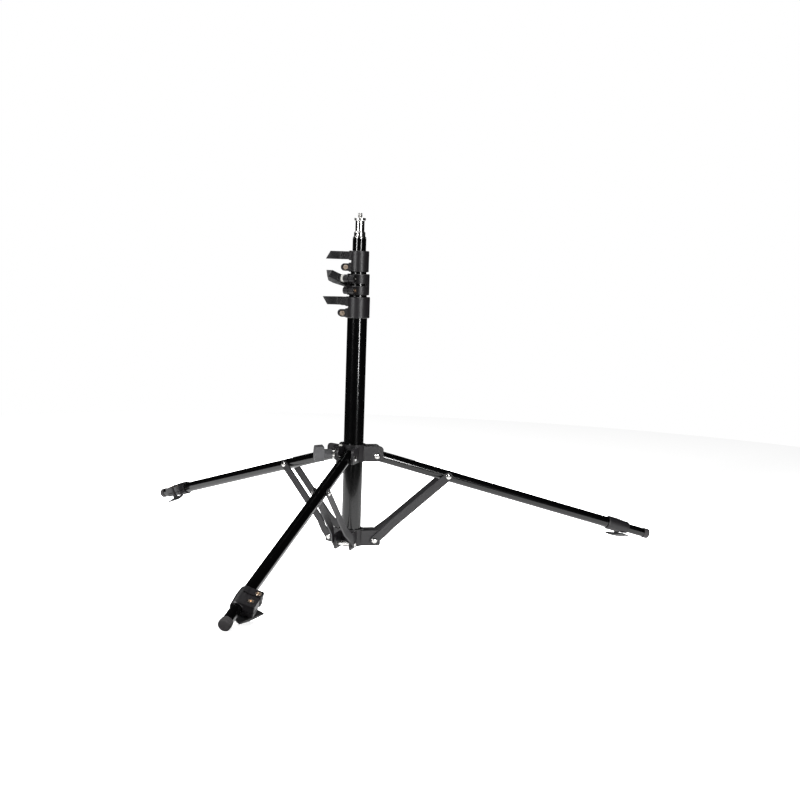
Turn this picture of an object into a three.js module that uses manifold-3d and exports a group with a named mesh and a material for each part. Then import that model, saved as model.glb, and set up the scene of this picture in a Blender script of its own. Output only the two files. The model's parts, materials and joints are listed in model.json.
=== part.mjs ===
// A compact telescopic lighting stand: a four-section column on three braced, telescopic legs.
// Millimetres, +Z up. The origin is the centre of the column's foot plug, on the floor plane,
// and the first leg lies along +X.
import * as THREE from "three";
import { mergeVertices } from "three/addons/utils/BufferGeometryUtils.js";
import Module from "manifold-3d";

const wasm = await Module();
wasm.setup();

// ---------------------------------------------------------------- driving dimensions

const GAP = 0.35; // running clearance between two pieces
const TUBE_WALL = 1.15; // wall of the column tubes
const LEG_WALL = 0.9; // wall of the leg tubes

const LEG_SLOPE = THREE.MathUtils.degToRad(16.1); // leg below horizontal when spread
const LEGS = [
  { name: "a", knobSpin: 155 },
  { name: "b", knobSpin: 150 },
  { name: "c", knobSpin: 118 },
]; // at 0, 120 and 240 degrees
const LEG_LENGTH = 448; // upper pivot to the end of the foot's straight rim
const LEG_RADIUS = 8;
const LEG_ROOT = -9; // the tube's inner end, past the pivot
const EXTENSION_RADIUS = 6.75;
const EXTENSION_START = 170; // inner end of the extension tube
const FOOT_RADIUS = 7.5;
const FOOT_RIM = 7.7; // straight part of the rubber foot
const FOOT_FLAT = 0.45; // depth of the flat the foot rests on
const LEG_COLLAR_START = 378;

const UPPER_PIVOT_RADIUS = 32; // leg pivots, from the column's axis
const LOWER_PIVOT_RADIUS = 31; // brace pivots, from the column's axis
const PIVOT_DROP = 121; // leg pivots above the brace pivots
const BRACE_AT = 112; // brace pivot along the leg
const BRACE_WIDTH = 12;
const BRACE_THICK = 2;
const BRACE_INNER_AT_LEG = 8.65; // strap's inner face beside the leg
const BRACE_INNER_AT_FOOT = 12.95; // and beside the lower bracket's ears

const EAR_INNER = 9.4; // clevis ears, inner face from the leg's middle plane
const EAR_OUTER = 12.5;
const EAR_REACH = 9.3; // past the pivot
const EAR_ABOVE = 14;
const EAR_BELOW = 7.9;
const HUB_RADIUS = 17.5; // bracket's ring around the base tube
const HUB_RIM = 2.2; // ring standing above the ears

const RIVET_SHANK = 2.5;
const RIVET_HEAD = 3.9;
const RIVET_DOME = 2.1;

const COLUMN = [
  { name: "base", radius: 14, bottom: 5 },
  { name: "middle", radius: 12.5, bottom: 22 },
  { name: "upper", radius: 11, bottom: 36 },
  { name: "top", radius: 9.5, bottom: 50 },
];
const COLLARS = [
  { name: "lower", ears: 172, slot: [-85, 35], spin: 180 },
  { name: "middle", ears: 223, slot: [-60, 84], spin: 17 },
  { name: "upper", ears: 172, slot: [-85, 35], spin: 0 },
];
const COLLAR_BOTTOM = 325.5;
const COLLAR_PITCH = 32;
const LOW_BAND = 12.8;
const BAND_SLOT = 3.4;
const HIGH_BAND = 13.3;
const COLLAR_WALL = 3.2;

const SPIGOT_FOOT = 436.8; // top of the top tube
const SPIGOT_TOP = 464.5;
const STUD_TOP = 471.2;

// Fine enough for round surfaces of each size.
const ROUND = { large: 32, medium: 24, small: 12 };

// ---------------------------------------------------------------- finishes

function finish(color, roughness, metalness) {
  return { color, roughness, metalness };
}
const GLOSS_BLACK = finish(0x0b0b0d, 0.16, 0.2);
const SATIN_BLACK = finish(0x2a282b, 0.48, 0.1);
const BLACK_PLASTIC = finish(0x39373a, 0.55, 0.0);
const RUBBER = finish(0x4b484a, 0.8, 0.0);
const BRIGHT_STEEL = finish(0xe4e2df, 0.18, 1.0);
const WARM_STEEL = finish(0xc9b39c, 0.3, 1.0);
const NYLON = finish(0xe8e6df, 0.6, 0.0);

// ---------------------------------------------------------------- solids

function solid(geometry) {
  const plain = geometry.clone();
  plain.deleteAttribute("normal");
  plain.deleteAttribute("uv");
  const merged = mergeVertices(plain, 1e-4);
  return new wasm.Manifold(
    new wasm.Mesh({
      numProp: 3,
      vertProperties: new Float32Array(merged.attributes.position.array),
      triVerts: new Uint32Array(merged.index.array),
    }),
  );
}

function geometryOf(body) {
  const mesh = body.getMesh();
  const geometry = new THREE.BufferGeometry();
  geometry.setAttribute("position", new THREE.BufferAttribute(mesh.vertProperties, 3));
  geometry.setIndex(new THREE.BufferAttribute(mesh.triVerts, 1));
  geometry.computeVertexNormals();
  return geometry;
}

// A cylinder along Z.
function rod(radius, bottom, top, segments) {
  const geometry = new THREE.CylinderGeometry(radius, radius, top - bottom, segments);
  geometry.rotateX(Math.PI / 2);
  geometry.translate(0, 0, (bottom + top) / 2);
  return geometry;
}

function block(x0, x1, y0, y1, z0, z1) {
  const geometry = new THREE.BoxGeometry(x1 - x0, y1 - y0, z1 - z0);
  geometry.translate((x0 + x1) / 2, (y0 + y1) / 2, (z0 + z1) / 2);
  return geometry;
}

// A profile of [radius, height] points turned about Z.
function turned(profile, segments) {
  const points = profile.map(([radius, height]) => new THREE.Vector2(radius, height));
  const geometry = new THREE.LatheGeometry(points, segments);
  geometry.rotateX(Math.PI / 2);
  return geometry;
}

function tube(outer, inner, bottom, top, segments) {
  return solid(rod(outer, bottom, top, segments)).subtract(
    solid(rod(inner, bottom - 1, top + 1, segments)),
  );
}

// An outline drawn in X and Z, carried along Y from y0 to y1.
function sidePlate(shape, y0, y1) {
  const options = { depth: y1 - y0, bevelEnabled: false, curveSegments: 5 };
  const geometry = new THREE.ExtrudeGeometry(shape, options);
  geometry.rotateX(Math.PI / 2);
  geometry.translate(0, y1, 0);
  return geometry;
}

// An outline drawn in X and Y, carried along Z from z0 to z1.
function flatPlate(shape, z0, z1) {
  const options = { depth: z1 - z0, bevelEnabled: false, curveSegments: 12 };
  const geometry = new THREE.ExtrudeGeometry(shape, options);
  geometry.translate(0, 0, z0);
  return geometry;
}

// Everything beyond a plane through a point, on the side its normal points to.
function halfSpace(point, normal) {
  const geometry = new THREE.BoxGeometry(160, 160, 80);
  geometry.translate(0, 0, 40);
  const direction = new THREE.Vector3(...normal).normalize();
  const turn = new THREE.Quaternion().setFromUnitVectors(new THREE.Vector3(0, 0, 1), direction);
  geometry.applyQuaternion(turn);
  geometry.translate(...point);
  return geometry;
}

// A cylinder along Y at x, z.
function crossRod(radius, x, z, y0, y1, segments) {
  const geometry = rod(radius, y0, y1, segments);
  geometry.rotateX(-Math.PI / 2);
  geometry.translate(x, 0, z);
  return geometry;
}

function turnedAboutColumn(geometry, degrees) {
  return geometry.clone().rotateZ(THREE.MathUtils.degToRad(degrees));
}

// ---------------------------------------------------------------- fasteners

// Half of a rivet's outline, from the pole of its dome to the shank.
function domeOutline(grip, side) {
  return [
    [0, side * (grip + RIVET_DOME)],
    [RIVET_HEAD * 0.62, side * (grip + RIVET_DOME * 0.78)],
    [RIVET_HEAD, side * (grip + RIVET_DOME * 0.22)],
    [RIVET_HEAD, side * grip],
    [RIVET_SHANK, side * grip],
  ];
}

// A rivet across a joint; grip is half the distance between its heads, spacer half the length
// of the thicker sleeve in the middle.
function rivet(grip, spacer, sleeveRadius) {
  const lower = domeOutline(grip, -1);
  const upper = domeOutline(grip, 1).reverse();
  const sleeve = [
    [RIVET_SHANK, -spacer],
    [sleeveRadius, -spacer],
    [sleeveRadius, spacer],
    [RIVET_SHANK, spacer],
  ];
  const outline = spacer > 0 ? [...lower, ...sleeve, ...upper] : [...lower, ...upper];
  return turned(outline, ROUND.small).rotateX(Math.PI / 2);
}

// A cap screw along Y with its head at +Y and a hexagon socket in the head.
function capScrew(headBottom, headTop, tip, headRadius, shankRadius) {
  const socket = crossRod(1.7, 0, 0, headTop - 1.6, headTop + 1, 6);
  const head = crossRod(headRadius, 0, 0, headBottom, headTop, ROUND.small);
  const shank = crossRod(shankRadius, 0, 0, tip, headBottom + 0.5, ROUND.small);
  return solid(head).add(solid(shank)).subtract(solid(socket));
}

// ---------------------------------------------------------------- split clamps

// Outline of a clamp's ear in X and Z: square to the collar, with round outer corners.
function earShape(reach, bottom, top, corner) {
  const shape = new THREE.Shape();
  shape.moveTo(0, bottom);
  shape.lineTo(reach - corner, bottom);
  shape.absarc(reach - corner, bottom + corner, corner, -Math.PI / 2, 0);
  shape.absarc(reach - corner, top - corner, corner, 0, Math.PI / 2);
  shape.lineTo(0, top);
  shape.closePath();
  return shape;
}

// A wedge of a disc about Z between two angles in degrees.
function wedgeShape(radius, from, to) {
  const start = THREE.MathUtils.degToRad(from);
  const end = THREE.MathUtils.degToRad(to);
  const shape = new THREE.Shape();
  shape.moveTo(0, 0);
  shape.lineTo(radius * Math.cos(start), radius * Math.sin(start));
  shape.absarc(0, 0, radius, start, end);
  shape.closePath();
  return shape;
}

// A split collar along Z with ears towards +X. Its low band grips the outer tube and its high
// band grips the sliding tube; screw heads face +Y and the knob sits on the -Y side.
function splitCollar(spec) {
  const { low, slot, high, outer, outerEnd, reach, corner, headHalf, knobHalf, slitHalf } = spec;
  const height = low.height + slot + high.height;
  const edge = 0.8;
  const outline = [
    [0, 0],
    [outer - edge, 0],
    [outer, edge],
    [outer, low.height + slot],
    [outerEnd, height - edge],
    [outerEnd - edge, height],
    [0, height],
  ];
  let body = solid(turned(outline, ROUND.large));
  const bands = [
    { bottom: 0, top: low.height, boltAt: low.boltAt },
    { bottom: low.height + slot, top: height, boltAt: high.boltAt },
  ];
  for (const { bottom, top } of bands) {
    const ear = earShape(reach, bottom + spec.earInset, top - spec.earInset, corner);
    body = body.add(solid(sidePlate(ear, -knobHalf, headHalf)));
  }
  const step = low.height + slot / 2;
  const wedge = wedgeShape(60, spec.slotFrom, spec.slotTo);
  body = body
    .subtract(solid(rod(low.bore, -1, step, ROUND.large)))
    .subtract(solid(rod(high.bore, step - 1, height + 1, ROUND.large)))
    .subtract(solid(block(0, 60, -slitHalf, slitHalf, -1, height + 1)))
    .subtract(solid(flatPlate(wedge, low.height, low.height + slot)));
  for (const { bottom, top, boltAt } of bands) {
    const middle = (bottom + top) / 2;
    const hole = crossRod(spec.holeRadius, boltAt, middle, -60, 60, ROUND.small);
    const seat = crossRod(spec.seatRadius, boltAt, middle, headHalf - spec.recess, 60, 16);
    body = body.subtract(solid(hole)).subtract(solid(seat));
  }
  return body;
}

// A wing knob along Z: a round hub and two wings along X that sweep away from the clamp.
function wingKnob(spec) {
  const { span, width, hub, neck, tipLow, tipHigh, crown, slant, boreRadius, boreDepth } = spec;
  const { hubSides, facet } = spec;
  const half = span / 2;
  const side = new THREE.Shape();
  side.moveTo(-half, tipLow);
  side.quadraticCurveTo(-hub - 1, tipLow - 0.5, -hub * 0.8, neck);
  side.lineTo(hub * 0.8, neck);
  side.quadraticCurveTo(hub + 1, tipLow - 0.5, half, tipLow);
  side.lineTo(half - 1, tipHigh);
  side.quadraticCurveTo(half * 0.4, crown, 0, crown);
  side.quadraticCurveTo(-half * 0.4, crown, -half + 1, tipHigh);
  side.closePath();
  const plan = new THREE.Shape();
  plan.moveTo(-half, -width / 2);
  plan.lineTo(half, -width / 2);
  plan.lineTo(half - slant, width / 2);
  plan.lineTo(-half + slant, width / 2);
  plan.closePath();
  let body = solid(sidePlate(side, -width / 2, width / 2))
    .intersect(solid(flatPlate(plan, 0, crown + 1)))
    .add(solid(rod(hub, 0, crown - 1.5, hubSides)))
    .subtract(solid(rod(boreRadius, -1, boreDepth, ROUND.small)));
  if (facet) {
    for (const wing of [-1, 1]) {
      const [x, y, z] = facet.at;
      const [nx, ny, nz] = facet.normal;
      body = body.subtract(solid(halfSpace([wing * x, y, z], [wing * nx, ny, nz])));
    }
  }
  return body;
}

// ---------------------------------------------------------------- assembly helpers

const stand = new THREE.Group();

function group(parent, options = {}) {
  const { x = 0, y = 0, z = 0, turnX = 0, turnY = 0, turnZ = 0 } = options;
  const made = new THREE.Group();
  made.position.set(x, y, z);
  made.rotation.set(turnX, turnY, turnZ);
  parent.add(made);
  return made;
}

function part(parent, name, shape, look) {
  const geometry = shape.isBufferGeometry ? shape : geometryOf(shape);
  const mesh = new THREE.Mesh(geometry, new THREE.MeshStandardMaterial(look));
  mesh.name = name;
  parent.add(mesh);
  return mesh;
}

// ---------------------------------------------------------------- column

const CLAMP_EAR_HALF = 8.6;
const CLAMP_BOLT_OUT = 4.9; // bolt's axis outside the collar's skin
const CLAMP_WASHER = 3.8; // bright washer between the ear and the knob
const CLAMP_KNOB = {
  span: 52,
  width: 11.2,
  hub: 5.2,
  neck: 3,
  tipLow: 5.2,
  tipHigh: 15.4,
  crown: 18.6,
  slant: 7,
  boreRadius: 2.4,
  boreDepth: 7,
  hubSides: 20,
  facet: { at: [19.5, 5.6, 15.4], normal: [0.47, -0.34, 0.82] },
};

COLUMN.forEach((section, index) => {
  const inner = section.radius - TUBE_WALL;
  const collarZ = COLLAR_BOTTOM + index * COLLAR_PITCH;
  const isTop = index === COLUMN.length - 1;
  const end = isTop ? SPIGOT_FOOT - GAP : collarZ + LOW_BAND + BAND_SLOT / 2 - GAP;
  const pipe = tube(section.radius, inner, section.bottom, end, ROUND.large);
  part(stand, `${section.name}_tube`, pipe, GLOSS_BLACK);
  if (index > 0) {
    const bottom = section.bottom;
    const glide = [
      [inner - 1.8, bottom - 3],
      [section.radius, bottom - 3],
      [section.radius, bottom - GAP],
      [inner - GAP, bottom - GAP],
      [inner - GAP, bottom + 7],
      [inner - 1.8, bottom + 7],
      [inner - 1.8, bottom - 3],
    ];
    part(stand, `${section.name}_glide`, turned(glide, ROUND.large), NYLON);
  }
});

COLLARS.forEach((clamp, index) => {
  const outerTube = COLUMN[index].radius;
  const slidingTube = COLUMN[index + 1].radius;
  const outer = outerTube + COLLAR_WALL;
  const boltAt = outer + CLAMP_BOLT_OUT;
  const seat = group(stand, {
    z: COLLAR_BOTTOM + index * COLLAR_PITCH,
    turnZ: THREE.MathUtils.degToRad(clamp.ears),
  });
  const collar = splitCollar({
    low: { height: LOW_BAND, bore: outerTube + GAP, boltAt },
    high: { height: HIGH_BAND, bore: slidingTube + GAP, boltAt },
    slot: BAND_SLOT,
    outer,
    outerEnd: outer,
    reach: boltAt + 5.3,
    corner: 5.1,
    earInset: 1.2,
    headHalf: CLAMP_EAR_HALF,
    knobHalf: CLAMP_EAR_HALF,
    slitHalf: 0.6,
    recess: 2,
    holeRadius: 2.35,
    seatRadius: 4.1,
    slotFrom: clamp.slot[0],
    slotTo: clamp.slot[1],
  });
  part(seat, `${clamp.name}_collar`, collar, SATIN_BLACK);
  const headBottom = CLAMP_EAR_HALF - 2 + 0.3;
  const screwLevel = group(seat, { x: boltAt, z: LOW_BAND / 2 });
  const screw = capScrew(headBottom, headBottom + 2.4, -CLAMP_EAR_HALF + 0.4, 3.5, 2);
  part(screwLevel, `${clamp.name}_clamp_screw`, screw, WARM_STEEL);
  const boltLevel = group(seat, { x: boltAt, z: LOW_BAND + BAND_SLOT + HIGH_BAND / 2 });
  const washerTop = -CLAMP_EAR_HALF - GAP;
  const washer = crossRod(5.1, 0, 0, washerTop - CLAMP_WASHER, washerTop, 18);
  const bolt = capScrew(headBottom, headBottom + 2.4, washerTop - CLAMP_WASHER - 6, 3.5, 2);
  part(boltLevel, `${clamp.name}_clamp_bolt`, bolt.add(solid(washer)), BRIGHT_STEEL);
  const knobBase = washerTop - CLAMP_WASHER - GAP;
  const knobSeat = group(boltLevel, { y: knobBase, turnX: Math.PI / 2 });
  const knobTurn = group(knobSeat, { turnZ: THREE.MathUtils.degToRad(clamp.spin) });
  part(knobTurn, `${clamp.name}_clamp_knob`, wingKnob(CLAMP_KNOB), BLACK_PLASTIC);
});

const spigotOutline = [
  [0, SPIGOT_FOOT - 26],
  [8, SPIGOT_FOOT - 26],
  [8, SPIGOT_FOOT],
  [9.3, SPIGOT_FOOT],
  [9.3, SPIGOT_FOOT + 1.2],
  [7.95, SPIGOT_FOOT + 2],
  [7.95, SPIGOT_FOOT + 7.6],
  [6.3, SPIGOT_FOOT + 9.2],
  [6.3, SPIGOT_TOP - 4],
  [7.95, SPIGOT_TOP - 3],
  [7.95, SPIGOT_TOP - 0.5],
  [7.5, SPIGOT_TOP],
  [0, SPIGOT_TOP],
];
const STUD_RADIUS = 3.1;
const studHole = rod(STUD_RADIUS + GAP, SPIGOT_TOP - 10, SPIGOT_TOP + 1, 18);
const spigot = solid(turned(spigotOutline, ROUND.large)).subtract(solid(studHole));
part(stand, "spigot", spigot, BRIGHT_STEEL);
const studOutline = [
  [0, SPIGOT_TOP - 9.6],
  [STUD_RADIUS, SPIGOT_TOP - 9.6],
  [STUD_RADIUS, STUD_TOP - 0.8],
  [STUD_RADIUS - 0.8, STUD_TOP],
  [0, STUD_TOP],
];
part(stand, "spigot_stud", turned(studOutline, 18), WARM_STEEL);

const plugOutline = [
  [0, 2],
  [13.2, 2],
  [13.9, 2.7],
  [13.9, 5 - GAP],
  [14 - TUBE_WALL - GAP, 5 - GAP],
  [14 - TUBE_WALL - GAP, 13],
  [0, 13],
];
part(stand, "column_plug", turned(plugOutline, ROUND.large), BLACK_PLASTIC);

// ---------------------------------------------------------------- brackets

const footAxisHeight = FOOT_RADIUS * Math.cos(LEG_SLOPE) - FOOT_FLAT;
const UPPER_PIVOT_Z = footAxisHeight + LEG_LENGTH * Math.sin(LEG_SLOPE);
const LOWER_PIVOT_Z = UPPER_PIVOT_Z - PIVOT_DROP;

// Outline of a clevis ear in X and Z about a pivot at pivotX, 0.
function clevisShape(pivotX) {
  const reach = pivotX + EAR_REACH;
  const shape = new THREE.Shape();
  shape.moveTo(11.5, -EAR_BELOW);
  shape.lineTo(reach - 2.5, -EAR_BELOW);
  shape.absarc(reach - 2.5, -EAR_BELOW + 2.5, 2.5, -Math.PI / 2, 0);
  shape.absarc(reach - 6, EAR_ABOVE - 6, 6, 0, Math.PI / 2);
  shape.lineTo(11.5, EAR_ABOVE);
  shape.closePath();
  return shape;
}

// A ring around the base tube with three clevises, centred on the pivots' height.
function bracketBody(pivotX) {
  let body = solid(rod(HUB_RADIUS, -EAR_BELOW, EAR_ABOVE + HUB_RIM, ROUND.large));
  const ear = clevisShape(pivotX);
  const pivotHole = crossRod(RIVET_SHANK + GAP, pivotX, 0, -30, 30, ROUND.small);
  LEGS.forEach((_, index) => {
    const angle = index * 120;
    for (const side of [-1, 1]) {
      const y0 = side < 0 ? -EAR_OUTER : EAR_INNER;
      const plate = sidePlate(ear, y0, y0 + EAR_OUTER - EAR_INNER);
      body = body.add(solid(turnedAboutColumn(plate, angle)));
    }
    body = body.subtract(solid(turnedAboutColumn(pivotHole, angle)));
  });
  return body;
}

function columnBore() {
  return solid(rod(COLUMN[0].radius + GAP, -60, 60, ROUND.large));
}

const lowerBracket = bracketBody(LOWER_PIVOT_RADIUS).subtract(columnBore());
const lowerLevel = group(stand, { z: LOWER_PIVOT_Z });
part(lowerLevel, "lower_bracket", lowerBracket, SATIN_BLACK);

// The upper bracket's lock: a boss between two clevises with a screw that presses on the tube.
const LOCK_ANGLE = 180;
const LOCK_Z = 2.5;
const BOSS_REACH = 27.5;
const bossShape = earShape(BOSS_REACH, -EAR_BELOW + 0.5, EAR_ABOVE - 0.5, 3);
const boss = turnedAboutColumn(sidePlate(bossShape, -7.5, 7.5), LOCK_ANGLE);
const lockHole = turnedAboutColumn(rod(3.4, 0, 60, 16).rotateY(Math.PI / 2), LOCK_ANGLE);
lockHole.translate(0, 0, LOCK_Z);
const upperBracket = bracketBody(UPPER_PIVOT_RADIUS)
  .add(solid(boss))
  .subtract(columnBore())
  .subtract(solid(lockHole));
const upperLevel = group(stand, { z: UPPER_PIVOT_Z });
part(upperLevel, "upper_bracket", upperBracket, SATIN_BLACK);

const lockSeat = group(upperLevel, { z: LOCK_Z, turnZ: THREE.MathUtils.degToRad(LOCK_ANGLE) });
const lockAxis = group(lockSeat, { turnY: Math.PI / 2 });
const lockScrewOutline = [
  [0, 14.6],
  [3, 14.6],
  [3, BOSS_REACH + 0.7],
  [6, BOSS_REACH + 0.7],
  [6, BOSS_REACH + 3.6],
  [3, BOSS_REACH + 3.6],
  [3, BOSS_REACH + 16],
  [0, BOSS_REACH + 16],
];
part(lockAxis, "bracket_lock_screw", turned(lockScrewOutline, 18), BRIGHT_STEEL);
const lockKnobSeat = group(lockAxis, { z: BOSS_REACH + 3.9 });
const lockKnobBar = {
  span: 23.5,
  width: 15,
  hub: 6.8,
  neck: 12,
  tipLow: 12.4,
  tipHigh: 24,
  crown: 25,
  slant: 1.5,
  boreRadius: 3.4,
  boreDepth: 12.6,
  hubSides: 6,
};
part(lockKnobSeat, "bracket_lock_knob", wingKnob(lockKnobBar), BLACK_PLASTIC);

// ---------------------------------------------------------------- legs and braces

const braceTop = {
  x: UPPER_PIVOT_RADIUS + BRACE_AT * Math.cos(LEG_SLOPE) - LOWER_PIVOT_RADIUS,
  z: PIVOT_DROP - BRACE_AT * Math.sin(LEG_SLOPE),
};
const BRACE_LENGTH = Math.hypot(braceTop.x, braceTop.z);
const BRACE_RISE = Math.atan2(braceTop.z, braceTop.x);

const LEG_CLAMP = {
  low: { height: 12, bore: LEG_RADIUS + GAP, boltAt: 14.3 },
  slot: 2.5,
  high: { height: 20.5, bore: EXTENSION_RADIUS + GAP, boltAt: 12 },
  outer: 10.2,
  outerEnd: 8.7,
  reach: 20,
  corner: 3.2,
  earInset: 0.3,
  headHalf: 9.2,
  knobHalf: 5.1,
  slitHalf: 0.5,
  recess: 2.4,
  holeRadius: 2.35,
  seatRadius: 4.3,
  slotFrom: -100,
  slotTo: 100,
};
const LEG_CLAMP_TILT = THREE.MathUtils.degToRad(-15); // the ears droop
const LEG_KNOB = {
  span: 38,
  width: 12.6,
  hub: 3.9,
  neck: 4.6,
  tipLow: 4.9,
  tipHigh: 6.6,
  crown: 8.2,
  slant: 3,
  boreRadius: 2.4,
  boreDepth: 6,
  hubSides: 18,
};

function legTube() {
  const end = LEG_COLLAR_START + LEG_CLAMP.low.height + LEG_CLAMP.slot / 2 - GAP;
  const pipe = tube(LEG_RADIUS, LEG_RADIUS - LEG_WALL, LEG_ROOT, end, ROUND.medium);
  const pivot = crossRod(RIVET_SHANK + GAP, 0, 0, -20, 20, ROUND.small).rotateZ(Math.PI / 2);
  const mid = pivot.clone().translate(0, 0, BRACE_AT);
  return pipe.subtract(solid(pivot)).subtract(solid(mid));
}

function extensionTube() {
  const inner = EXTENSION_RADIUS - LEG_WALL;
  const end = LEG_LENGTH - FOOT_RIM - GAP;
  return tube(EXTENSION_RADIUS, inner, EXTENSION_START, end, ROUND.medium);
}

// The rubber foot along Z, with the flat that rests on the floor cut by the floor plane.
function footCap() {
  const inner = EXTENSION_RADIUS - LEG_WALL - GAP;
  const rim = LEG_LENGTH - FOOT_RIM;
  const outline = [
    [0, rim - 14],
    [inner, rim - 14],
    [inner, rim],
    [FOOT_RADIUS, rim],
    [FOOT_RADIUS, LEG_LENGTH],
    [FOOT_RADIUS * 0.85, LEG_LENGTH + 1.1],
    [FOOT_RADIUS * 0.5, LEG_LENGTH + 1.7],
    [0, LEG_LENGTH + 1.9],
  ];
  const floor = block(-60, 60, -60, 60, -40, 0);
  floor.translate(LEG_LENGTH * Math.cos(LEG_SLOPE), 0, -UPPER_PIVOT_Z);
  floor.rotateY(-LEG_SLOPE);
  floor.rotateY(-Math.PI / 2);
  return solid(turned(outline, 20)).subtract(solid(floor));
}

// A brace strap along X from the lower pivot, on the side given by side, with a joggle that
// takes it from outside the bracket's ear to the leg's flank.
function braceStrap(side) {
  const end = BRACE_WIDTH / 2;
  const bendStart = 16;
  const bendEnd = 34;
  const path = [
    [-end - 2, BRACE_INNER_AT_FOOT],
    [bendStart, BRACE_INNER_AT_FOOT],
    [bendEnd, BRACE_INNER_AT_LEG],
    [BRACE_LENGTH + end + 2, BRACE_INNER_AT_LEG],
  ];
  const inner = path.map(([x, y]) => new THREE.Vector2(x, side * y));
  const outer = path.map(([x, y]) => new THREE.Vector2(x, side * (y + BRACE_THICK)));
  const edge = new THREE.Shape([...inner, ...outer.reverse()]);
  const outline = new THREE.Shape();
  outline.absarc(0, 0, end, Math.PI / 2, Math.PI * 1.5);
  outline.absarc(BRACE_LENGTH, 0, end, -Math.PI / 2, Math.PI / 2);
  outline.closePath();
  const hole = crossRod(RIVET_SHANK + GAP, 0, 0, -30, 30, ROUND.small);
  const farHole = hole.clone().translate(BRACE_LENGTH, 0, 0);
  return solid(flatPlate(edge, -end - 1, end + 1))
    .intersect(solid(sidePlate(outline, -30, 30)))
    .subtract(solid(hole))
    .subtract(solid(farHole));
}

LEGS.forEach(({ name, knobSpin }, index) => {
  const arm = group(stand, { turnZ: (index * 2 * Math.PI) / 3 });
  const upperPivot = group(arm, { x: UPPER_PIVOT_RADIUS, z: UPPER_PIVOT_Z });
  const lowerPivot = group(arm, { x: LOWER_PIVOT_RADIUS, z: LOWER_PIVOT_Z });

  part(upperPivot, `upper_rivet_${name}`, rivet(EAR_OUTER + GAP, 0, 0), BRIGHT_STEEL);
  const lowerGrip = BRACE_INNER_AT_FOOT + BRACE_THICK + GAP;
  const lowerSpacer = EAR_INNER - GAP;
  part(lowerPivot, `lower_rivet_${name}`, rivet(lowerGrip, lowerSpacer, 3.2), BRIGHT_STEEL);

  // Leg pieces are made along Z and laid along the leg: their X becomes the leg's flank and
  // their Y its upper side.
  const slope = group(upperPivot, { turnY: LEG_SLOPE });
  const along = group(slope);
  along.quaternion.setFromAxisAngle(new THREE.Vector3(1, 1, 1).normalize(), (2 * Math.PI) / 3);
  part(along, `leg_tube_${name}`, legTube(), GLOSS_BLACK);
  part(along, `leg_extension_${name}`, extensionTube(), GLOSS_BLACK);
  part(slope, `foot_cap_${name}`, geometryOf(footCap()).rotateY(Math.PI / 2), RUBBER);
  const midPin = crossRod(RIVET_SHANK, BRACE_AT, 0, -8.2, 8.2, ROUND.small);
  part(slope, `mid_pin_${name}`, midPin, BRIGHT_STEEL);

  const clampSeat = group(along, { z: LEG_COLLAR_START, turnZ: LEG_CLAMP_TILT });
  part(clampSeat, `leg_collar_${name}`, splitCollar(LEG_CLAMP), SATIN_BLACK);
  const boltZ = LEG_CLAMP.low.height + LEG_CLAMP.slot + LEG_CLAMP.high.height / 2;
  const boltLevel = group(clampSeat, { x: LEG_CLAMP.high.boltAt, z: boltZ });
  const headBottom = LEG_CLAMP.headHalf - LEG_CLAMP.recess + 0.3;
  const bolt = capScrew(headBottom, headBottom + 2.4, -LEG_CLAMP.knobHalf - 5.6, 3.6, 2);
  part(boltLevel, `leg_clamp_bolt_${name}`, bolt, WARM_STEEL);
  const knobSeat = group(boltLevel, { y: -LEG_CLAMP.knobHalf - GAP, turnX: Math.PI / 2 });
  const knobTurn = group(knobSeat, { turnZ: THREE.MathUtils.degToRad(knobSpin) });
  part(knobTurn, `leg_clamp_knob_${name}`, wingKnob(LEG_KNOB), BLACK_PLASTIC);

  const brace = group(lowerPivot, { turnY: -BRACE_RISE });
  part(brace, `brace_${name}_left`, braceStrap(1), SATIN_BLACK);
  part(brace, `brace_${name}_right`, braceStrap(-1), SATIN_BLACK);
});

export default stand;
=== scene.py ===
"""Compact lighting stand: finishes, screws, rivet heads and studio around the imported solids.

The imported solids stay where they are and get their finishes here. Small hardware that catches
the light is worked out as surfaces: a turned profile whose height or radius is a formula of two
parameters. Lengths are in metres and +Z is up.
"""

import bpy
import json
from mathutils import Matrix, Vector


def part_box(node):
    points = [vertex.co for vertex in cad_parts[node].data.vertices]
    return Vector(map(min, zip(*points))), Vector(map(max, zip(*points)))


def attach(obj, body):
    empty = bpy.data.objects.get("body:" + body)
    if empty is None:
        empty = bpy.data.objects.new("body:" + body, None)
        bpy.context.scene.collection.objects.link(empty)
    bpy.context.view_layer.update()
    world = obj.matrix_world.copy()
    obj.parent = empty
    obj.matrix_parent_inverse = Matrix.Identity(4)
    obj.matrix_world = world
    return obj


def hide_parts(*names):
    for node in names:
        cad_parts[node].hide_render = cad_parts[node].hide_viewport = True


bl_info = {
    "name": "Compact lighting stand",
    "version": (1, 0, 0),
    "blender": (4, 5, 0),
    "location": "View3D > Sidebar > Stand",
    "description": "Finishes a packed telescopic lighting stand and sets it in a plain studio",
    "category": "Object",
}

import json
import math

import bmesh
import bpy
import numpy as np
from mathutils import Matrix, Vector

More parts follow.
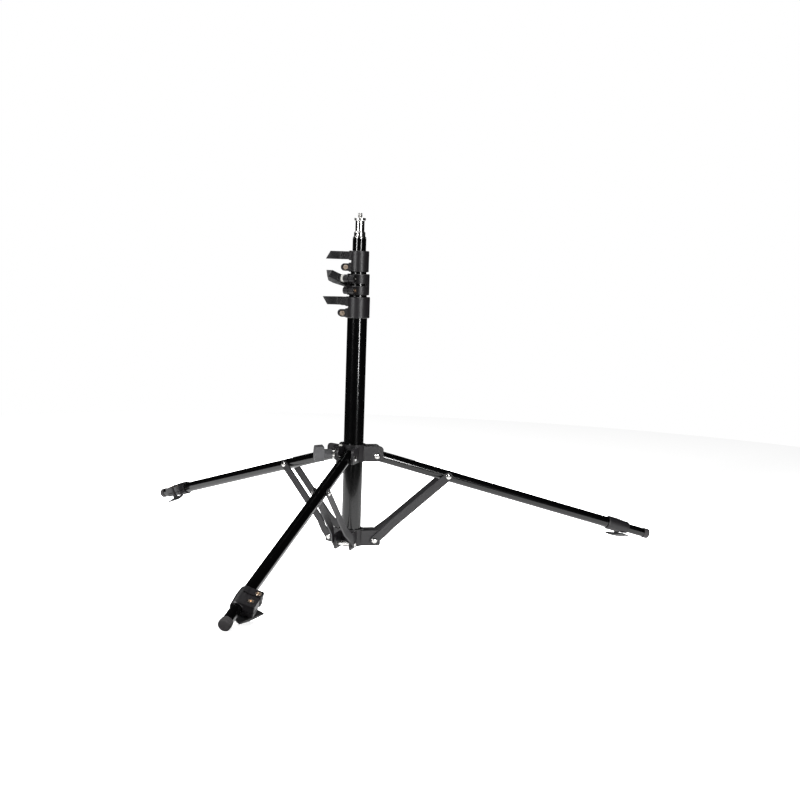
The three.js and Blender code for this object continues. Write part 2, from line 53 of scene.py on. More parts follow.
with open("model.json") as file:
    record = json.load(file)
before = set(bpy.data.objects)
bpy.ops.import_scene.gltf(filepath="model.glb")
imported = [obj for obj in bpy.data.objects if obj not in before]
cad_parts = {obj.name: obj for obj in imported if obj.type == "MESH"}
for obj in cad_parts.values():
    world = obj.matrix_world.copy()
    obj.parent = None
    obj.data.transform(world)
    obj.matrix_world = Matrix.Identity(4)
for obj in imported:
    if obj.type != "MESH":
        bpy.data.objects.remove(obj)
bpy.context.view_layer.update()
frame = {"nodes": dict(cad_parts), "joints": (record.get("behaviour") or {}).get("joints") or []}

MM = 0.001
UP = (0.0, 0.0, 1.0)
LEGS = ("a", "b", "c")
SECTIONS = ("lower", "middle", "upper")
JOINTS = {joint["name"]: joint for joint in frame["joints"]}

# Where hardware sits, measured from the frame's joints.
COLLAR_SCREW_BACK = 18.75 * MM  # from the leg knob's bolt back to the collar's fixed screw
COLLAR_SCREW_OUT = 2.3 * MM  # the fixed screw sits this much further from the tube
COLLAR_SCREW_SEAT = 6.85 * MM  # height of the counterbore's floor above the bolt line
PIN_HEAD_SEAT = 10.7 * MM  # from the leg's axis to the outer face of a brace strap
BOSS_CAP_RADIUS_AT = 17.7 * MM  # from the column's axis to the cap on the lock boss
BOSS_TOP = 13.5 * MM  # height of the boss's upper face above the leg pivots
STUD_BURIED = 8.0 * MM  # length of the stud inside the spigot
WASHER_NEAR = 9.0 * MM  # from the middle clamp's bolt line to the sleeve on its washer
WASHER_FAR = 12.7 * MM  # and to the sleeve's outer end


# ------------------------------------------------------------------ settings


def colour_setting(name, description, default):
    """A colour property with the given default."""
    return bpy.props.FloatVectorProperty(
        name=name,
        description=description,
        subtype="COLOR",
        size=3,
        min=0.0,
        max=1.0,
        default=default,
    )


def length_setting(name, description, default):
    """A length property in metres."""
    return bpy.props.FloatProperty(
        name=name,
        description=description,
        subtype="DISTANCE",
        unit="LENGTH",
        precision=5,
        min=0.0,
        default=default,
    )


def number_setting(name, description, default):
    """A plain number property."""
    return bpy.props.FloatProperty(name=name, description=description, default=default)


class STAND_PG_finishes(bpy.types.PropertyGroup):
    """Colours of the stand's finishes."""

    lacquer: colour_setting("Tube lacquer", "Gloss black of the tubes", (0.001, 0.001, 0.0011))
    powder: colour_setting("Powder coat", "Satin black of the castings", (0.0105, 0.0098, 0.0108))
    plastic: colour_setting("Knob plastic", "Charcoal of the knobs", (0.02, 0.02, 0.021))
    lock: colour_setting("Lock knob plastic", "Grey of the bracket's knob", (0.10, 0.10, 0.104))
    rubber: colour_setting("Foot rubber", "Grey of the rubber feet", (0.056, 0.052, 0.054))
    nickel: colour_setting("Nickel plate", "Rivets, washers and spigot", (0.82, 0.81, 0.79))
    zinc: colour_setting("Yellow zinc", "Cap screws and stud", (0.66, 0.5, 0.38))
    nylon: colour_setting("Nylon", "White plugs and inner glides", (0.85, 0.84, 0.81))


class STAND_PG_hardware(bpy.types.PropertyGroup):
    """Sizes of the small hardware."""

    screw_radius: length_setting("Screw head radius", "Radius of a collar screw's head", 3.7 * MM)
    screw_height: length_setting("Screw head height", "Height of a collar screw's head", 2.3 * MM)
    socket_radius: length_setting("Socket radius", "Radius of the hexagon socket", 1.7 * MM)
    pin_radius: length_setting("Pin head radius", "Radius of a brace pin's head", 4.0 * MM)
    pin_height: length_setting("Pin head height", "Height of a brace pin's head", 2.3 * MM)
    washer_radius: length_setting("Washer radius", "Radius of the white washer", 5.3 * MM)
    cap_radius: length_setting("Boss cap radius", "Radius of the cap on the boss", 3.5 * MM)
    cap_height: length_setting("Boss cap height", "Height of the cap on the boss", 2.0 * MM)
    stud_radius: length_setting("Stud radius", "Outer radius of the stud's thread", 3.1 * MM)
    thread_pitch: length_setting("Thread pitch", "Distance between thread crests", 1.27 * MM)


class STAND_PG_stage(bpy.types.PropertyGroup):
    """Camera, floor and lights."""

    camera_place: bpy.props.FloatVectorProperty(
        name="Camera place",
        description="Where the camera stands",
        subtype="TRANSLATION",
        unit="LENGTH",
        size=3,
        default=(-0.41069, -1.76749, 0.40426),
    )
    camera_yaw: number_setting("Yaw", "Heading of the view from +X, in degrees", 74.905)
    camera_pitch: number_setting("Pitch", "Rise of the view, in degrees", -6.064)
    camera_roll: number_setting("Roll", "Turn about the view, in degrees", 1.896)
    lens: number_setting("Lens", "Focal length on a 36 mm sensor, in mm", 58.08)
    floor_radius: length_setting("Floor radius", "Radius of the pale floor", 1.6)
    sheet_radius: length_setting("Sheet radius", "Radius of the mirrored white sheet", 0.62)
    floor: colour_setting("Floor", "Colour of the floor", (0.92, 0.92, 0.92))


# ------------------------------------------------------------------ shader maths


class Wire:
    """A socket or number in a material. Arithmetic on wires adds Math nodes to the tree."""

    def __init__(self, recipe, socket):
        self.recipe = recipe
        self.socket = socket

    def math(self, operation, *others):
        values = {index + 1: other for index, other in enumerate(others)}
        return self.recipe.node("ShaderNodeMath", {"operation": operation}, {0: self, **values})

    def __add__(self, other):
        return self.math("ADD", other)

    def __mul__(self, other):
        return self.math("MULTIPLY", other)

    def __sub__(self, other):
        return self.math("SUBTRACT", other)

    def __rsub__(self, other):
        return (self * -1.0).math("ADD", other)

    __radd__ = __add__
    __rmul__ = __mul__

    def sine(self):
        return self.math("SINE")

    def band(self, low, high):
        """0 below low, 1 above high, and a smooth climb between them."""
        limits = {"From Min": low, "From Max": high, "Value": self}
        settings = {"interpolation_type": "SMOOTHSTEP"}
        return self.recipe.node("ShaderNodeMapRange", settings, limits)


class Recipe:
    """The node tree of one finish."""

    def __init__(self, name):
        self.material = bpy.data.materials.new(name)
        self.material.use_nodes = True
        self.tree = self.material.node_tree
        self.shader = self.tree.nodes["Principled BSDF"]

    def put(self, socket, value):
        """Links a wire to a socket, or writes a constant on it."""
        if isinstance(value, Wire):
            self.tree.links.new(value.socket, socket)
        elif isinstance(value, (tuple, list)) and len(value) == 3 and socket.type == "RGBA":
            socket.default_value = (*value, 1.0)
        else:
            socket.default_value = value

    def node(self, kind, settings, values, output=0):
        """Adds a node, with its settings first and then its sockets, and returns an output."""
        made = self.tree.nodes.new(kind)
        for key, value in settings.items():
            setattr(made, key, value)
        for key, value in values.items():
            self.put(made.inputs[key], value)
        return Wire(self, made.outputs[output])

    def place(self, stretch=(1.0, 1.0, 1.0)):
        """Object coordinates, stretched about the frame's origin."""
        spot = self.node("ShaderNodeTexCoord", {}, {}, "Object")
        values = {"Vector": spot, "Scale": stretch}
        return self.node("ShaderNodeMapping", {"vector_type": "POINT"}, values)

    def height(self):
        """Height above the floor, in metres."""
        spot = self.node("ShaderNodeTexCoord", {}, {}, "Object")
        return self.node("ShaderNodeSeparateXYZ", {}, {0: spot}, "Z")

    def noise(self, scale, detail=2.0, where=None):
        """Cloudy noise from 0 to 1 with that many lumps a metre."""
        values = {"Vector": where or self.place(), "Scale": scale, "Detail": detail}
        return self.node("ShaderNodeTexNoise", {}, values, "Fac")

    def blend(self, factor, first, second):
        """Mixes two colours by a wire."""
        values = {"Factor": factor, 6: first, 7: second}
        return self.node("ShaderNodeMix", {"data_type": "RGBA"}, values, 2)

    def bump(self, height, distance, strength=1.0):
        """A bump of that height in metres for a height wire of 0 to 1."""
        values = {"Height": height, "Distance": distance, "Strength": strength}
        return self.node("ShaderNodeBump", {}, values)

    def finish(self, **sockets):
        """Writes the shader's sockets, named with underscores for spaces, and gives it back."""
        for key, value in sockets.items():
            self.put(self.shader.inputs[key.replace("_", " ")], value)
        return self.material


# ------------------------------------------------------------------ finishes


TURNING_STEP = 0.42 * MM  # distance between the rings a turning tool leaves


def shade(colour, factor):
    """A colour multiplied by a number."""
    return tuple(min(1.0, channel * factor) for channel in colour)


def lacquer_finish(recipe, colour):
    """Gloss lacquer: a slight orange peel, faint lengthwise rubbing and a little dust."""
    peel = recipe.noise(520.0, 2.0)
    cloud = recipe.noise(38.0, 3.0)
    rubbing = recipe.noise(1.0, 4.0, recipe.place((950.0, 950.0, 26.0))).band(0.62, 0.74)
    dust = recipe.noise(2600.0, 1.0).band(0.70, 0.78)
    base = recipe.blend(dust * 0.35 + cloud * 0.2, colour, shade(colour, 5.0))
    return recipe.finish(
        Base_Color=base,
        Roughness=0.12 + cloud * 0.07 + rubbing * 0.1 + dust * 0.12,
        Specular_IOR_Level=0.5,
        Coat_Weight=0.35,
        Coat_Roughness=0.06,
        Normal=recipe.bump(peel, 0.00003, 0.5),
    )


def powder_finish(recipe, colour):
    """Satin powder coat: a fine pebbled grain over cast alloy and steel strap."""
    grain = recipe.noise(1900.0, 3.0)
    cloud = recipe.noise(55.0, 3.0)
    base = recipe.blend(grain.band(0.35, 0.75) * 0.6 + cloud * 0.4, colour, shade(colour, 2.6))
    return recipe.finish(
        Base_Color=base,
        Roughness=0.27 + grain * 0.12 + cloud * 0.06,
        Normal=recipe.bump(grain, 0.00012, 0.7),
    )


def plastic_finish(recipe, colour):
    """Moulded plastic: fine spark grain, slightly worn to a sheen in places."""
    spark = recipe.noise(3300.0, 2.0)
    worn = recipe.noise(140.0, 3.0).band(0.45, 0.7)
    base = recipe.blend(spark.band(0.3, 0.8), shade(colour, 0.75), shade(colour, 1.6))
    return recipe.finish(
        Base_Color=base,
        Roughness=0.46 - worn * 0.12 + spark * 0.06,
        Normal=recipe.bump(spark, 0.00010, 0.6),
    )


def rubber_finish(recipe, colour):
    """Dull rubber with dust in its pores, random paler scuffs, and paler within 6 mm of the
    floor.
    """
    pores = recipe.noise(1500.0, 4.0)
    scuff = recipe.noise(210.0, 4.0).band(0.5, 0.75)
    height = recipe.height()
    # Lighter within 6 mm of the floor.
    low = 1.0 - height.band(0.0, 0.006)
    base = recipe.blend(scuff * 0.45 + low * 0.3, colour, shade(colour, 2.2))
    return recipe.finish(
        Base_Color=base,
        Roughness=0.74 + pores * 0.18,
        Normal=recipe.bump(pores, 0.00015, 0.8),
    )


def nickel_finish(recipe, colour):
    """Bright nickel or chrome with turning rings round the column and thin fingermarks."""
    height = recipe.height()
    rings = (height * (2.0 * math.pi / TURNING_STEP)).sine() * 0.5 + 0.5
    smear = recipe.noise(160.0, 4.0)
    base = recipe.blend(smear, colour, shade(colour, 0.86))
    return recipe.finish(
        Base_Color=base,
        Metallic=1.0,
        Roughness=0.12 + smear * 0.12 + rings * 0.03,
        Normal=recipe.bump(rings, 0.000002, 0.4),
    )


def zinc_finish(recipe, colour):
    """Yellow passivated steel: warm, faintly blotched and brushed."""
    blotch = recipe.noise(320.0, 3.0)
    brushed = recipe.noise(1.0, 3.0, recipe.place((600.0, 600.0, 5200.0)))
    base = recipe.blend(blotch.band(0.35, 0.7), colour, (0.78, 0.68, 0.56))
    return recipe.finish(
        Base_Color=base,
        Metallic=1.0,
        Roughness=0.24 + blotch * 0.14 + brushed * 0.06,
        Normal=recipe.bump(brushed, 0.00002, 0.5),
    )


def nylon_finish(recipe, colour):
    """Natural nylon: milky, with faint flow marks."""
    flow = recipe.noise(90.0, 3.0)
    base = recipe.blend(flow, colour, shade(colour, 0.9))
    return recipe.finish(Base_Color=base, Roughness=0.4 + flow * 0.12)


FINISHES = {
    "lacquer": lacquer_finish,
    "powder": powder_finish,
    "plastic": plastic_finish,
    "lock": plastic_finish,
    "rubber": rubber_finish,
    "nickel": nickel_finish,
    "zinc": zinc_finish,
    "nylon": nylon_finish,
}


def finish(name):
    """The material of that name, made once from the scene's colour setting."""
    made = bpy.data.materials.get(name)
    if made is None:
        colour = tuple(getattr(bpy.context.scene.stand_finishes, name))
        made = FINISHES[name](Recipe(name), colour)
    return made


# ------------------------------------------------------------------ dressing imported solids


JOIN_DISTANCE = 0.000002
SOLID_SHARP_TURN = math.radians(28.0)


def round_shading_group():
    """Node group that joins a solid's loose triangles and shades round faces smoothly.

    Edges that turn by more than SOLID_SHARP_TURN stay sharp.
    """
    group = bpy.data.node_groups.get("round_shading")
    if group is not None:
        return group
    group = bpy.data.node_groups.new("round_shading", "GeometryNodeTree")
    group.interface.new_socket("Geometry", in_out="INPUT", socket_type="NodeSocketGeometry")
    group.interface.new_socket("Geometry", in_out="OUTPUT", socket_type="NodeSocketGeometry")
    nodes, links = group.nodes, group.links
    entry = nodes.new("NodeGroupInput")
    joined = nodes.new("GeometryNodeMergeByDistance")
    joined.inputs["Distance"].default_value = JOIN_DISTANCE
    smooth = nodes.new("GeometryNodeSetShadeSmooth")
    sharp = nodes.new("GeometryNodeSetShadeSmooth")
    sharp.domain = "EDGE"
    sharp.inputs["Shade Smooth"].default_value = False
    turn = nodes.new("GeometryNodeInputMeshEdgeAngle")
    steep = nodes.new("FunctionNodeCompare")
    steep.inputs[1].default_value = SOLID_SHARP_TURN
    leave = nodes.new("NodeGroupOutput")
    links.new(entry.outputs[0], joined.inputs[0])
    links.new(joined.outputs[0], smooth.inputs[0])
    links.new(smooth.outputs[0], sharp.inputs[0])
    links.new(turn.outputs["Unsigned Angle"], steep.inputs[0])
    links.new(steep.outputs[0], sharp.inputs["Selection"])
    links.new(sharp.outputs[0], leave.inputs[0])
    return group


def dress(names, finish_name):
    """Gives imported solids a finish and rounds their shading."""
    for name in names:
        solid = frame["nodes"][name]
        solid.data.materials.clear()
        solid.data.materials.append(finish(finish_name))
        modifier = solid.modifiers.new("round_shading", "NODES")
        modifier.node_group = round_shading_group()


# ------------------------------------------------------------------ surfaces

HEAD_TURNS = 64  # points round a rivet head, washer or thread
SCREW_TURNS = 72  # points round a screw head, a multiple of six for its socket
DISC_TURNS = 96  # points round a stage disc
WELD = 0.0000005  # points closer than this become one
SHARP_TURN = math.radians(38.0)  # an edge that turns by more stays sharp


def closed_skin(name, grid):
    """A closed mesh from rows of points that run round an axis.

    Each row is one ring, the first and last rows shrink to a pole, and the faces between two
    rings are quads whose corners are worked out from the row and column numbers at once.
    """
    rows, columns = grid.shape[:2]
    ring = np.arange(columns)
    ahead = (ring + 1) % columns
    row = np.arange(rows - 1)[:, None] * columns
    quads = np.stack([row + ring, row + ahead, row + columns + ahead, row + columns + ring], 2)
    mesh = bpy.data.meshes.new(name)
    mesh.from_pydata(grid.reshape(-1, 3), [], quads.reshape(-1, 4).tolist())
    join_poles(mesh)
    piece = bpy.data.objects.new(name, mesh)
    bpy.context.scene.collection.objects.link(piece)
    return piece


def join_poles(mesh):
    """Welds the rings of zero radius into poles, turns faces outwards and smooths them."""
    work = bmesh.new()
    work.from_mesh(mesh)
    bmesh.ops.remove_doubles(work, verts=work.verts, dist=WELD)
    bmesh.ops.dissolve_degenerate(work, edges=work.edges, dist=WELD * 0.4)
    bmesh.ops.recalc_face_normals(work, faces=work.faces)
    for edge in work.edges:
        edge.smooth = edge.calc_face_angle(0.0) < SHARP_TURN
    for face in work.faces:
        face.smooth = True
    work.to_mesh(mesh)
    work.free()


def stepped(profile, steps):
    """Points along straight stretches between a profile's corners, each cut into steps."""
    corners = np.array(profile, float)
    share = np.linspace(0.0, 1.0, steps, endpoint=False)[None, :, None]
    inner = corners[:-1, None, :] * (1.0 - share) + corners[1:, None, :] * share
    return np.vstack([inner.reshape(-1, 2), corners[-1:]])


def turned_grid(radius, height, turns):
    """Rings of points: x = r cos a, y = r sin a, z = h, with r and h given for every ring."""
    angle = np.linspace(0.0, 2.0 * math.pi, turns, endpoint=False)
    wide = np.broadcast_to(radius, (np.shape(radius)[0], turns))
    tall = np.broadcast_to(height, (np.shape(radius)[0], turns))
    return np.stack([wide * np.cos(angle), wide * np.sin(angle), tall], 2)


def smooth_step(value, low, high):
    """0 below low, 1 above high, 3t² - 2t³ between them."""
    t = np.clip((value - low) / (high - low), 0.0, 1.0)
    return t * t * (3.0 - 2.0 * t)


def stood_on(grid, origin, axis, side):
    """Carries a grid from its own axes to a seat: its Z runs along axis and its X along side."""
    up = np.array(axis, float) / np.linalg.norm(axis)
    across = np.array(side, float) - up * np.dot(side, up)
    across /= np.linalg.norm(across)
    return np.array(origin) + grid @ np.array([across, np.cross(up, across), up])


def dome_profile(radius, height, edge, foot):
    """A head's outline: closed below, an upright edge, then a quarter ellipse to the pole."""
    sweep = np.linspace(0.0, math.pi / 2.0, 12)
    arc = np.stack([radius * np.cos(sweep), edge + (height - edge) * np.sin(sweep)], 1)
    below = stepped([(0.0, foot), (radius * 0.55, foot), (radius * 0.55, 0.0), (radius, 0.0)], 3)
    return np.vstack([below, arc])


def socket_screw_grid(radius, height, socket_radius):
    """A cap screw's head: a chamfered drum whose top drops into a hexagon socket.

    The socket's depth is a smooth step of the distance to a hexagon, which is the largest of
    three projections across its flats.
    """
    bevel = 0.4 * MM
    rim = stepped([(0.0, 0.0), (radius, 0.0), (radius, height - bevel)], 4)
    chamfer = stepped([(radius, height - bevel), (radius - bevel, height)], 3)
    top = stepped([(radius - bevel, height), (0.0, height)], 22)
    outline = np.vstack([rim, chamfer, top])
    grid = turned_grid(outline[:, :1], outline[:, 1:], SCREW_TURNS)
    flats = np.radians([0.0, 60.0, 120.0])
    reach = np.abs(grid[..., :1] * np.cos(flats) + grid[..., 1:2] * np.sin(flats)).max(2)
    apothem = socket_radius * math.cos(math.pi / 6.0)
    depth = (height * 0.72) * (1.0 - smooth_step(reach, apothem * 0.93, apothem * 1.03))
    upper = grid[..., 2] > height * 0.6
    grid[..., 2] -= np.where(upper & (reach < apothem * 1.05), depth, 0.0)
    return grid


def domed_head_grid(radius, height, foot):
    """A rivet head with a shallow ring pressed round its crown.

    The ring is a cosine bump of the distance from the axis taken away from the dome.
    """
    outline = dome_profile(radius, height, height * 0.25, foot)
    ring = np.exp(-(((outline[:, 0] - radius * 0.62) / (radius * 0.09)) ** 2))
    outline[:, 1] -= ring * height * 0.05 * (outline[:, 1] > height * 0.3)
    return turned_grid(outline[:, :1], outline[:, 1:], HEAD_TURNS)


def barrel_outline(radius, near, far):
    """A washer's outline: flat ends and a rim that bulges by a sine of the way along it."""
    share = np.linspace(0.0, 1.0, 13)
    bulge = 0.94 + 0.06 * np.sin(math.pi * share) ** 0.5
    rim = np.stack([radius * bulge, near + (far - near) * share], 1)
    ends = np.array([(0.0, near), (radius * 0.5, near), (radius * 0.5, far), (0.0, far)])
    return np.vstack([ends[:2], rim, ends[2:]])


def threaded_grid(radius, pitch, length):
    """A threaded rod: the radius drops by a rounded sawtooth of height minus turn.

    The thread runs out over the first and last pitch, where the depth fades to nothing, and
    both ends are closed by flat discs with a chamfer.
    """
    depth = 0.45 * pitch
    level = np.linspace(0.0, length, int(length / pitch * 10) + 1)[:, None]
    angle = np.linspace(0.0, 1.0, HEAD_TURNS, endpoint=False)[None, :]
    tooth = 0.5 - 0.5 * np.cos(2.0 * math.pi * (level / pitch - angle))
    fade = smooth_step(level, 0.0, pitch) * (1.0 - smooth_step(level, length - pitch, length))
    bevel = 0.7 * MM
    chamfer = np.clip((level - (length - bevel)) / bevel, 0.0, 1.0) * bevel
    wide = radius - depth * tooth * fade - chamfer
    pole = np.zeros((1, HEAD_TURNS))
    radii = np.vstack([pole, wide, pole])
    heights = np.vstack([pole, level + pole, pole + length])
    return turned_grid(radii, heights, HEAD_TURNS)


def fit(piece, body, finish_name):
    """Gives a new piece its finish and lets it ride on a body."""
    piece.data.materials.append(finish(finish_name))
    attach(piece, body)
    return piece


# ------------------------------------------------------------------ studio

# Name, place, width and height, and power in watts. Every light looks at LIGHT_TARGET.
SOFT_LIGHTS = (
    ("right_strip", (0.55, -1.61, 0.55), (0.1, 0.95), 14.0),
    ("left_window", (-1.45, -0.9, 0.8), (0.2, 0.9), 18.0),
    ("rear_left_light", (-1.2, 1.4, 2.2), (0.8, 0.8), 14.0),
    ("top_light", (0.2, -0.3, 2.4), (0.8, 0.8), 10.0),
)
LIGHT_TARGET = Vector((0.0, 0.0, 0.22))
SHEET_CENTRE = (0.05, 0.205)  # the mirrored sheet lies mostly behind the column
FLOOR_GLOW = 0.8
SHEET_GLOW = 1.0
DISC_THICKNESS = 0.02
DISC_DROP = 0.0002  # the discs lie this far under the feet
SKY_SEEN = (1.0, 1.0, 1.0, 1.0)
SKY_MIRRORED = (0.006, 0.006, 0.006, 1.0)


def lay_floor(settings):
    """A round pale floor for the camera and a smaller white sheet for the stand to mirror."""
    colour = tuple(settings.floor)
    floor = pale_disc("floor", settings.floor_radius, (0.0, 0.0), colour, FLOOR_GLOW)
    floor.visible_glossy = False
    floor.visible_diffuse = False
    floor.visible_shadow = False
    sheet = pale_disc("bounce_sheet", settings.sheet_radius, SHEET_CENTRE, colour, SHEET_GLOW)
    sheet.visible_camera = False


def pale_disc(name, radius, centre, colour, glow):
    """A round white sheet: flat rings out to an edge that turns down, closed underneath."""
    under = -DISC_THICKNESS
    outline = stepped([(0.0, 0.0), (radius, 0.0), (radius, under), (0.0, under)], 6)
    grid = turned_grid(outline[:, :1], outline[:, 1:], DISC_TURNS)
    grid += np.array([*centre, -DISC_DROP])
    disc = closed_skin(name, grid)
    recipe = Recipe(f"pale_{name}")
    paper = recipe.noise(240.0, 3.0)
    base = recipe.blend(paper, colour, shade(colour, 0.985))
    disc.data.materials.append(
        recipe.finish(
            Base_Color=base,
            Roughness=0.9,
            Specular_IOR_Level=0.1,
            Emission_Color=base,
            Emission_Strength=glow,
        )
    )
    return disc


def light_sky():
    """White where the camera looks past the stand, and near black in what the stand mirrors."""
    world = bpy.data.worlds.new("studio")
    bpy.context.scene.world = world
    world.use_nodes = True
    nodes, links = world.node_tree.nodes, world.node_tree.links
    nodes.clear()
    path = nodes.new("ShaderNodeLightPath")
    seen = nodes.new("ShaderNodeBackground")
    seen.inputs["Color"].default_value = SKY_SEEN
    around = nodes.new("ShaderNodeBackground")
    around.inputs["Color"].default_value = SKY_MIRRORED
    choice = nodes.new("ShaderNodeMixShader")
    out = nodes.new("ShaderNodeOutputWorld")
    links.new(path.outputs["Is Camera Ray"], choice.inputs[0])
    links.new(around.outputs[0], choice.inputs[1])
    links.new(seen.outputs[0], choice.inputs[2])
    links.new(choice.outputs[0], out.inputs[0])


def hang_light(name, place, size, power):
    """An area light of that size that looks at the stand."""
    lamp = bpy.data.lights.new(name, "AREA")
    lamp.shape = "RECTANGLE"
    lamp.size, lamp.size_y = size
    lamp.energy = power
    light = bpy.data.objects.new(name, lamp)
    light.location = place
    light.rotation_euler = (LIGHT_TARGET - Vector(place)).to_track_quat("-Z", "Y").to_euler()
    bpy.context.scene.collection.objects.link(light)
    light.visible_camera = False


def stand_camera(settings):
    """A camera that looks along its yaw and pitch and is turned by its roll."""
    yaw = math.radians(settings.camera_yaw)
    pitch = math.radians(settings.camera_pitch)
    roll = math.radians(settings.camera_roll)
    flat = math.cos(pitch)
    view = Vector((math.cos(yaw) * flat, math.sin(yaw) * flat, math.sin(pitch)))
    level = Vector((math.sin(yaw), -math.cos(yaw), 0.0))
    above = level.cross(view)
    right = level * math.cos(roll) + above * math.sin(roll)
    up = above * math.cos(roll) - level * math.sin(roll)
    camera = bpy.data.objects.new("camera", bpy.data.cameras.new("camera"))
    camera.data.sensor_width = 36.0
    camera.data.lens = settings.lens
    camera.data.clip_start = 0.01
    turn = Matrix((right, up, -view)).transposed().to_4x4()
    camera.matrix_world = Matrix.Translation(Vector(settings.camera_place)) @ turn
    bpy.context.scene.collection.objects.link(camera)
    bpy.context.scene.camera = camera
    bpy.context.scene.view_settings.view_transform = "Standard"


# ------------------------------------------------------------------ operators


class StandOperator:
    """What the stand's operators share."""

    bl_options = {"REGISTER", "UNDO"}


class STAND_OT_column_tubes(StandOperator, bpy.types.Operator):
    """Lacquer the column's four nested tubes and dress the plug at their foot"""

    bl_idname = "stand.column_tubes"
    bl_label = "Column tubes"

    def execute(self, context):
        dress(["base_tube", "middle_tube", "upper_tube", "top_tube"], "lacquer")
        dress(["column_plug"], "plastic")
        dress(["middle_glide", "upper_glide", "top_glide"], "nylon")
        return {"FINISHED"}


class STAND_OT_column_clamps(StandOperator, bpy.types.Operator):
    """Coat the three column collars, plate their screws and the middle bolt, and coat the lower
    and upper bolts black as painted shade
    """

    bl_idname = "stand.column_clamps"
    bl_label = "Column clamps"

    def execute(self, context):
        dress([f"{section}_collar" for section in SECTIONS], "powder")
        dress([f"{section}_clamp_screw" for section in SECTIONS], "zinc")
        dress(["middle_clamp_bolt"], "nickel")
        # Painted shade: the lower and upper bolts are the same kind as the nickel middle bolt but
        # get the black coat, so their heads look shaded.
        dress(["lower_clamp_bolt", "upper_clamp_bolt"], "powder")
        bolt = JOINTS["middle_knob_turn"]
        radius = context.scene.stand_hardware.washer_radius
        outline = barrel_outline(radius, WASHER_NEAR, WASHER_FAR)
        grid = turned_grid(outline[:, :1], outline[:, 1:], HEAD_TURNS)
        sleeve = closed_skin("middle_washer", stood_on(grid, bolt["pos_m"], bolt["axis"], UP))
        fit(sleeve, "middle_section", "nylon")
        return {"FINISHED"}


class STAND_OT_wing_knobs(StandOperator, bpy.types.Operator):
    """Give the column's and the legs' wing knobs their moulded grain"""

    bl_idname = "stand.wing_knobs"
    bl_label = "Wing knobs"

    def execute(self, context):
        dress([f"{section}_clamp_knob" for section in SECTIONS], "plastic")
        dress([f"leg_clamp_knob_{leg}" for leg in LEGS], "plastic")
        return {"FINISHED"}


class STAND_OT_spigot(StandOperator, bpy.types.Operator):
    """Plate the spigot and cut the thread of its stud"""

    bl_idname = "stand.spigot"
    bl_label = "Spigot and stud"

    def execute(self, context):
        sizes = context.scene.stand_hardware
        dress(["spigot"], "nickel")
        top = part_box("spigot_stud")[1].z
        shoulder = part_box("spigot")[1].z
        length = top - shoulder + STUD_BURIED
        grid = threaded_grid(sizes.stud_radius, sizes.thread_pitch, length)
        grid[..., 2] += top - length
        stud = closed_skin("threaded_stud", grid)
        fit(stud, "top_section", "nickel")
        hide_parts("spigot_stud")
        return {"FINISHED"}


class STAND_OT_brackets(StandOperator, bpy.types.Operator):
    """Coat the two leg brackets and plate their rivets"""

    bl_idname = "stand.brackets"
    bl_label = "Leg brackets"

    def execute(self, context):
        dress(["upper_bracket", "lower_bracket"], "powder")
        dress([f"{level}_rivet_{leg}" for level in ("upper", "lower") for leg in LEGS], "nickel")
        return {"FINISHED"}


class STAND_OT_bracket_lock(StandOperator, bpy.types.Operator):
    """Dress the bracket's lock screw and knob and add the white cap on its boss"""

    bl_idname = "stand.bracket_lock"
    bl_label = "Bracket lock"

    def execute(self, context):
        sizes = context.scene.stand_hardware
        dress(["bracket_lock_knob"], "lock")
        dress(["bracket_lock_screw"], "nickel")
        outwards = Vector(JOINTS["bracket_lock_turn"]["axis"])
        boss_top = JOINTS["leg_a_fold"]["pos_m"][2] + BOSS_TOP
        grid = domed_head_grid(sizes.cap_radius, sizes.cap_height, -0.6 * MM)
        seat = outwards * BOSS_CAP_RADIUS_AT + Vector(UP) * boss_top
        cap = closed_skin("boss_cap", stood_on(grid, seat, UP, outwards))
        fit(cap, "leg_bracket", "nylon")
        return {"FINISHED"}


class STAND_OT_legs(StandOperator, bpy.types.Operator):
    """Lacquer the leg tubes and their extensions and dress the rubber feet"""

    bl_idname = "stand.legs"
    bl_label = "Legs and feet"

    def execute(self, context):
        dress([f"leg_tube_{leg}" for leg in LEGS], "lacquer")
        dress([f"leg_extension_{leg}" for leg in LEGS], "lacquer")
        dress([f"foot_cap_{leg}" for leg in LEGS], "rubber")
        return {"FINISHED"}


class STAND_OT_leg_clamps(StandOperator, bpy.types.Operator):
    """Coat the leg collars, plate their bolts and add the fixed screws"""

    bl_idname = "stand.leg_clamps"
    bl_label = "Leg clamps"

    def execute(self, context):
        sizes = context.scene.stand_hardware
        dress([f"leg_collar_{leg}" for leg in LEGS], "powder")
        dress([f"leg_clamp_bolt_{leg}" for leg in LEGS], "zinc")
        head = socket_screw_grid(sizes.screw_radius, sizes.screw_height, sizes.socket_radius)
        for leg in LEGS:
            bolt = JOINTS[f"leg_knob_{leg}_turn"]
            along = Vector(JOINTS[f"foot_{leg}_slide"]["axis"])
            facing = -Vector(bolt["axis"])
            outwards = facing.cross(along)
            seat = Vector(bolt["pos_m"]) - along * COLLAR_SCREW_BACK
            seat += outwards * COLLAR_SCREW_OUT + facing * COLLAR_SCREW_SEAT
            screw = closed_skin(f"collar_screw_{leg}", stood_on(head, seat, facing, along))
            fit(screw, f"leg_{leg}", "zinc")
        return {"FINISHED"}


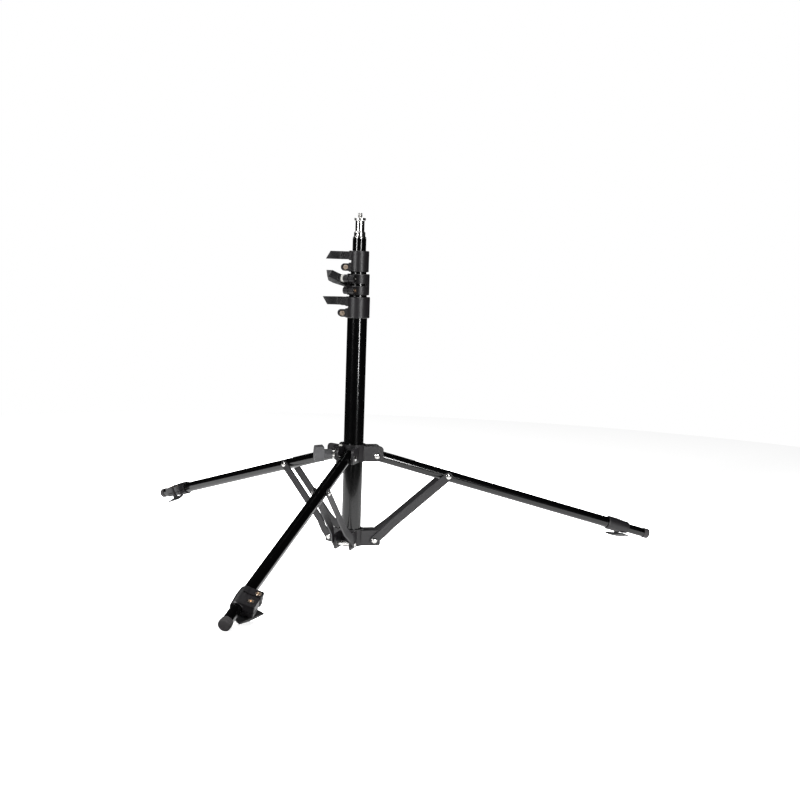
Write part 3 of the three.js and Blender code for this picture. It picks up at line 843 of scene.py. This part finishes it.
class STAND_OT_braces(StandOperator, bpy.types.Operator):
    """Coat the brace straps and add the heads of the pins that join them to the legs"""

    bl_idname = "stand.braces"
    bl_label = "Braces"

    def execute(self, context):
        sizes = context.scene.stand_hardware
        dress([f"brace_{leg}_{side}" for leg in LEGS for side in ("left", "right")], "powder")
        dress([f"mid_pin_{leg}" for leg in LEGS], "nickel")
        head = domed_head_grid(sizes.pin_radius, sizes.pin_height, -0.4 * MM)
        for leg in LEGS:
            low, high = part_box(f"mid_pin_{leg}")
            centre = (low + high) / 2.0
            flank = Vector(JOINTS[f"leg_{leg}_fold"]["axis"])
            along = Vector(JOINTS[f"foot_{leg}_slide"]["axis"])
            for side, way in (("left", flank), ("right", -flank)):
                seat = centre + way * PIN_HEAD_SEAT
                grid = stood_on(head, seat, way, along)
                piece = closed_skin(f"pin_head_{leg}_{side}", grid)
                fit(piece, f"brace_{leg}", "nickel")
        return {"FINISHED"}


class STAND_OT_stage(StandOperator, bpy.types.Operator):
    """Set the floor, the soft lights and the camera"""

    bl_idname = "stand.stage"
    bl_label = "Studio"

    def execute(self, context):
        settings = context.scene.stand_stage
        lay_floor(settings)
        light_sky()
        for name, place, size, power in SOFT_LIGHTS:
            hang_light(name, place, size, power)
        stand_camera(settings)
        return {"FINISHED"}


# ------------------------------------------------------------------ panel and registration

OPERATORS = (
    STAND_OT_column_tubes,
    STAND_OT_column_clamps,
    STAND_OT_wing_knobs,
    STAND_OT_spigot,
    STAND_OT_brackets,
    STAND_OT_bracket_lock,
    STAND_OT_legs,
    STAND_OT_leg_clamps,
    STAND_OT_braces,
    STAND_OT_stage,
)
SETTINGS = {
    "stand_finishes": STAND_PG_finishes,
    "stand_hardware": STAND_PG_hardware,
    "stand_stage": STAND_PG_stage,
}


class STAND_PT_panel(bpy.types.Panel):
    """The stand's pieces and settings"""

    bl_idname = "STAND_PT_panel"
    bl_label = "Lighting stand"
    bl_space_type = "VIEW_3D"
    bl_region_type = "UI"
    bl_category = "Stand"

    def draw(self, context):
        for operator in OPERATORS:
            self.layout.operator(operator.bl_idname)
        for name, group in SETTINGS.items():
            box = self.layout.box()
            for key in group.__annotations__:
                box.prop(getattr(context.scene, name), key)


def register():
    for group in (*SETTINGS.values(), *OPERATORS, STAND_PT_panel):
        bpy.utils.register_class(group)
    for name, group in SETTINGS.items():
        setattr(bpy.types.Scene, name, bpy.props.PointerProperty(type=group))


def unregister():
    for name in SETTINGS:
        delattr(bpy.types.Scene, name)
    for group in reversed((*SETTINGS.values(), *OPERATORS, STAND_PT_panel)):
        bpy.utils.unregister_class(group)


def main():
    """Builds everything in order."""
    register()
    bpy.ops.stand.column_tubes()
    bpy.ops.stand.column_clamps()
    bpy.ops.stand.wing_knobs()
    bpy.ops.stand.spigot()
    bpy.ops.stand.brackets()
    bpy.ops.stand.bracket_lock()
    bpy.ops.stand.legs()
    bpy.ops.stand.leg_clamps()
    bpy.ops.stand.braces()
    bpy.ops.stand.stage()


if __name__ == "__main__":
    main()
